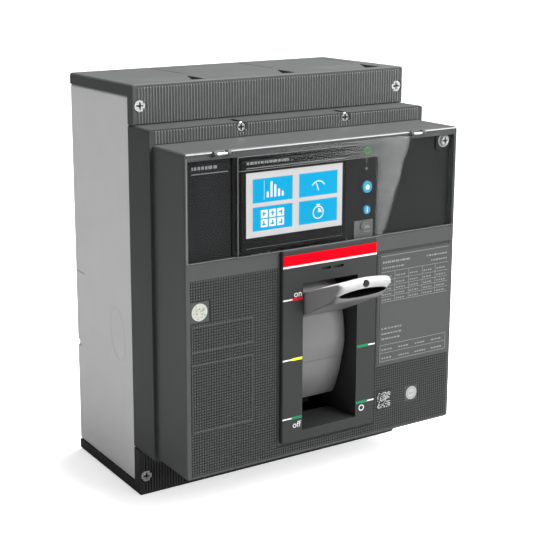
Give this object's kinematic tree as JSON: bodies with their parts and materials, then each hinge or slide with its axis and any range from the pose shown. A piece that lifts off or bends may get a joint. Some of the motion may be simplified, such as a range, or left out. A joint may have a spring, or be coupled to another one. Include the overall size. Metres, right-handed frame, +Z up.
{
  "type": "molded case circuit breaker",
  "caption": "Three-pole molded case circuit breaker with stepped covers, toggle handle and an electronic trip unit behind a hinged clear window.",
  "frame": {"origin": "centre of the rear mounting face", "axes": "+X right seen from the front, +Y to the panel behind, +Z up towards the line terminals"},
  "size_m": [0.21, 0.1908, 0.268],
  "materials": {
    "base_moulding": "light-grey glass-filled moulding, fine grain",
    "cover_moulding": "dark grey moulding, fine spark grain",
    "fascia_moulding": "dark grey textured fascia",
    "black_panel": "black satin panel",
    "clear_plastic": "clear polycarbonate",
    "handle_moulding": "light-grey satin moulding",
    "red_label": "printed red foil",
    "grey_label": "printed grey film",
    "white_label": "printed white film",
    "display_glass": "lit display under glass",
    "button_blue": "blue keys",
    "button_grey": "grey soft plug",
    "led_green": "green light ring",
    "board_green": "green laminate",
    "steel": "zinc-plated steel",
    "spring_steel": "oiled spring steel",
    "copper_bar": "silver-flashed copper",
    "insulator": "thermoset insulator",
    "accessory_black": "black nylon"
  },
  "bodies": {
    "case": {"base_case": "base_moulding", "upper_terminal_cover": "cover_moulding", "lower_terminal_cover": "cover_moulding", "mid_cover": "cover_moulding", "front_cover": "fascia_moulding", "handle_escutcheon": "fascia_moulding", "red_label_strip": "red_label", "rating_label": "grey_label", "matrix_label": "white_label", "round_sticker": "white_label", "test_sticker": "white_label", "cover_hinge_pins": "steel", "left_blank_panel": "black_panel", "right_blank_panel": "black_panel", "panel_screw": "steel", "terminal_cover_screws": "steel", "mid_cover_screws": "steel", "trip_unit_housing": "black_panel", "display_bezel": "black_panel", "display_screen": "display_glass", "circuit_board": "board_green", "port_cover": "button_grey", "power_led": "led_green", "handle_pivot_pins": "steel", "mechanism_side_plates": "steel", "cradle_pin": "steel", "latch_pin": "steel", "trip_actuator": "accessory_black", "crossbar_bearings": "insulator", "auxiliary_contact_block": "accessory_black", "shunt_release": "accessory_black", "flexible_braids": "copper_bar", "current_sensors": "accessory_black", "upper_terminal_left": "copper_bar", "upper_terminal_centre": "copper_bar", "upper_terminal_right": "copper_bar", "lower_terminal_left": "copper_bar", "lower_terminal_centre": "copper_bar", "lower_terminal_right": "copper_bar", "arc_chute_left": "steel", "arc_chute_centre": "steel", "arc_chute_right": "steel"},
    "handle": {"handle": "handle_moulding", "handle_yoke": "steel", "main_springs": "spring_steel"},
    "shield": {"handle_shield": "handle_moulding"},
    "contacts": {"crossbar": "insulator", "crank_pin": "steel", "moving_contact_left": "copper_bar", "moving_contact_centre": "copper_bar", "moving_contact_right": "copper_bar"},
    "lower_link_pair": {"lower_links": "steel"},
    "cradle_lever": {"cradle": "steel"},
    "upper_link_pair": {"upper_links": "steel"},
    "trip_shaft": {"trip_bar": "insulator"},
    "latch": {"trip_latch": "steel"},
    "plunger": {"actuator_plunger": "steel"},
    "home_key": {"home_button": "button_blue"},
    "info_key": {"info_button": "button_blue"},
    "window_cover": {"clear_cover": "clear_plastic"}
  },
  "joints": [
    {"name": "handle_tilt", "type": "hinge", "parent": "case", "child": "handle", "pos_m": [0, -0.063, -0.034], "axis": [1, 0, 0], "range_deg": [0, 41]},
    {"name": "shield_slide", "type": "hinge", "parent": "case", "child": "shield", "pos_m": [0, -0.063, -0.034], "axis": [1, 0, 0], "range_deg": [0, 22.6]},
    {"name": "crossbar_turn", "type": "hinge", "parent": "case", "child": "contacts", "pos_m": [0, -0.038, -0.046], "axis": [1, 0, 0], "range_deg": [0, 35.1]},
    {"name": "lower_link_turn", "type": "hinge", "parent": "contacts", "child": "lower_link_pair", "pos_m": [0, -0.03919, -0.01202], "axis": [1, 0, 0], "range_deg": [-14.6, 0]},
    {"name": "trip_bar_turn", "type": "hinge", "parent": "case", "child": "trip_shaft", "pos_m": [0, -0.094, 0.056], "axis": [1, 0, 0], "range_deg": [0, 10], "stiffness_Nm_per_rad": 0.1, "springref_deg": -5.73},
    {"name": "cradle_turn", "type": "hinge", "parent": "case", "child": "cradle_lever", "pos_m": [0, -0.074, 0.036], "axis": [1, 0, 0], "range_deg": [0, 12.1]},
    {"name": "upper_link_turn", "type": "hinge", "parent": "cradle_lever", "child": "upper_link_pair", "pos_m": [0, -0.086, 0.012], "axis": [1, 0, 0], "range_deg": [-57.6, 0]},
    {"name": "latch_turn", "type": "hinge", "parent": "case", "child": "latch", "pos_m": [0, -0.101, 0.046], "axis": [1, 0, 0], "range_deg": [-5.1, 0]},
    {"name": "plunger_slide", "type": "slide", "parent": "case", "child": "plunger", "axis": [0, 0, -1], "range_m": [0, 0.0011]},
    {"name": "home_press", "type": "slide", "parent": "case", "child": "home_key", "axis": [0, 1, 0], "range_m": [0, 0.0012], "stiffness_N_per_m": 800, "springref_m": -0.0005},
    {"name": "info_press", "type": "slide", "parent": "case", "child": "info_key", "axis": [0, 1, 0], "range_m": [0, 0.0012], "stiffness_N_per_m": 800, "springref_m": -0.0005},
    {"name": "window_cover_hinge", "type": "hinge", "parent": "case", "child": "window_cover", "pos_m": [0, -0.1526, 0.0978], "axis": [-1, 0, 0], "range_deg": [0, 120]}
  ],
  "couplings": [
    {"joint": "shield_slide", "follows": "handle_tilt", "ratio": 0.55},
    {"joint": "crossbar_turn", "follows": "handle_tilt", "ratio": 0.8536},
    {"joint": "lower_link_turn", "follows": "handle_tilt", "ratio": -0.3536},
    {"joint": "upper_link_turn", "follows": "handle_tilt", "ratio": -1.4},
    {"joint": "cradle_turn", "follows": "trip_bar_turn", "ratio": 1.2},
    {"joint": "latch_turn", "follows": "trip_bar_turn", "ratio": -0.5},
    {"joint": "plunger_slide", "follows": "trip_bar_turn", "m_per_rad": 0.0057}
  ]
}
